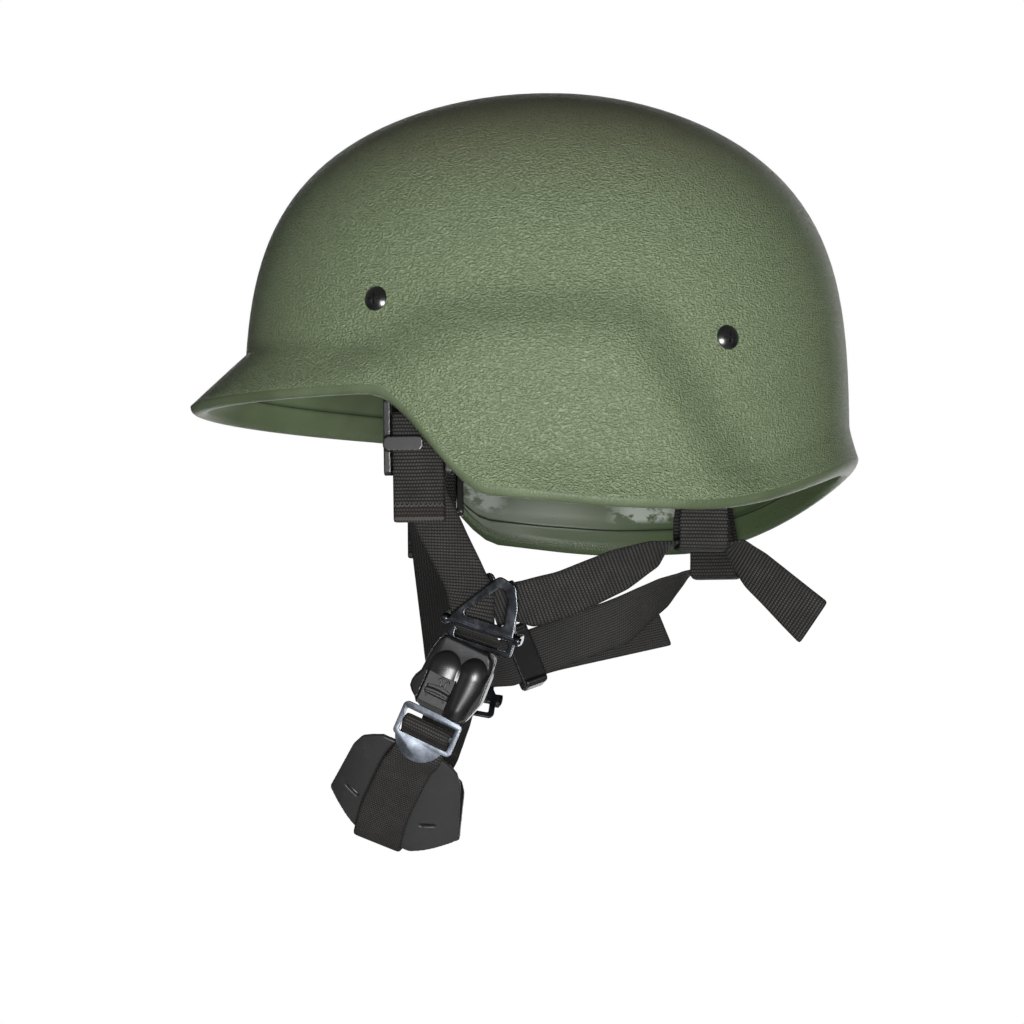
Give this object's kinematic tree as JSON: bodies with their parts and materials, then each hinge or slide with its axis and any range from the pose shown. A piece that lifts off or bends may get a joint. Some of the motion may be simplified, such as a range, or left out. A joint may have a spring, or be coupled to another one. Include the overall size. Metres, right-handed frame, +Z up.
{
  "type": "combat helmet",
  "caption": "flared-rim combat helmet shell with inner suspension, headband, adjustable webbing chinstrap harness, triangular rings, quick-release buckle and cupped chin piece",
  "frame": {"origin": "the middle of the head opening, on the midplane, level with the lowest part of the rim at the ears; this point is the head seat the helmet is held by", "axes": "the helmet faces -Y, +Y is the back, +Z is up and +X is the wearer's left, the side that the picture shows"},
  "size_m": [0.2414, 0.28, 0.3186],
  "materials": {
    "shell_coat": "fine grained olive coat, matt with small glints",
    "screw_black": "black gloss with a cross recess",
    "steel": "satin steel",
    "spacer_rubber": "matt dark rubber",
    "clip_steel": "dark satin steel",
    "webbing": "charcoal basket-weave webbing",
    "lace": "round braided lace",
    "band_leather": "smooth tan leather",
    "foam": "soft grey foam",
    "black_plastic": "moulded black gloss",
    "slide_plastic": "satin black with an embossed arrow",
    "ring_steel": "dark gunmetal, worn bright at the edges",
    "tongue_steel": "satin steel with bright edges",
    "chin_webbing": "fine ribbed brown-black webbing",
    "cup_rubber": "soft dark grey moulded rubber"
  },
  "bodies": {
    "helmet": {"shell": "shell_coat", "shell_screws": "screw_black", "screw_posts": "steel", "spacers": "spacer_rubber", "hanger_clips": "clip_steel", "suspension_band": "webbing", "crown_straps": "webbing", "crown_lace": "lace", "headband": "band_leather", "headband_foam": "foam", "headband_clips": "steel", "headband_tab": "webbing", "front_hanger_left": "webbing", "front_hanger_right": "webbing", "front_strap_left": "webbing", "front_strap_right": "webbing", "ring_frame_left": "ring_steel", "ring_frame_right": "ring_steel", "nape_strap_left": "webbing", "nape_strap_right": "webbing", "rear_loop_left": "webbing", "rear_loop_right": "webbing", "buckle_cover": "black_plastic", "buckle_base": "black_plastic", "release_spring": "steel"},
    "adjuster_left": {"strap_adjuster_left": "black_plastic", "front_tail_left": "webbing"},
    "adjuster_right": {"strap_adjuster_right": "black_plastic", "front_tail_right": "webbing"},
    "gate_left": {"ring_gate_left": "ring_steel"},
    "gate_right": {"ring_gate_right": "ring_steel"},
    "slider": {"nape_slider": "black_plastic"},
    "release": {"release_slide": "slide_plastic"},
    "chin_piece": {"tongue_plate": "tongue_steel", "chin_strap": "chin_webbing", "chin_cup": "cup_rubber"}
  },
  "joints": [
    {"name": "adjuster_left_tilt", "type": "hinge", "parent": "helmet", "child": "adjuster_left", "pos_m": [0.08952, -0.05704, 0.04555], "axis": [-0.1392, -0.9903, 0], "range_deg": [0, 20]},
    {"name": "adjuster_right_tilt", "type": "hinge", "parent": "helmet", "child": "adjuster_right", "pos_m": [-0.08952, -0.05704, 0.04555], "axis": [-0.1392, 0.9903, 0], "range_deg": [0, 20]},
    {"name": "gate_left_swing", "type": "hinge", "parent": "helmet", "child": "gate_left", "pos_m": [0.07607, -0.0319, -0.04567], "axis": [0.1425, 0.9381, -0.3157], "range_deg": [0, 60]},
    {"name": "gate_right_swing", "type": "hinge", "parent": "helmet", "child": "gate_right", "pos_m": [-0.07289, -0.04303, -0.06396], "axis": [0.1753, -0.9696, 0.171], "range_deg": [0, 60]},
    {"name": "nape_slider_slide", "type": "slide", "parent": "helmet", "child": "slider", "axis": [-0.2538, 0.9055, 0.3401], "range_m": [-0.002, 0.003]},
    {"name": "release_slide_push", "type": "slide", "parent": "helmet", "child": "release", "axis": [0.2438, 0.3963, 0.8851], "range_m": [0, 0.004], "stiffness_N_per_m": 300, "springref_m": -0.002, "deforming": ["release_spring"]},
    {"name": "chin_piece_release", "type": "slide", "parent": "helmet", "child": "chin_piece", "axis": [-0.2438, -0.3963, -0.8851], "range_m": [0, 0.014]}
  ]
}
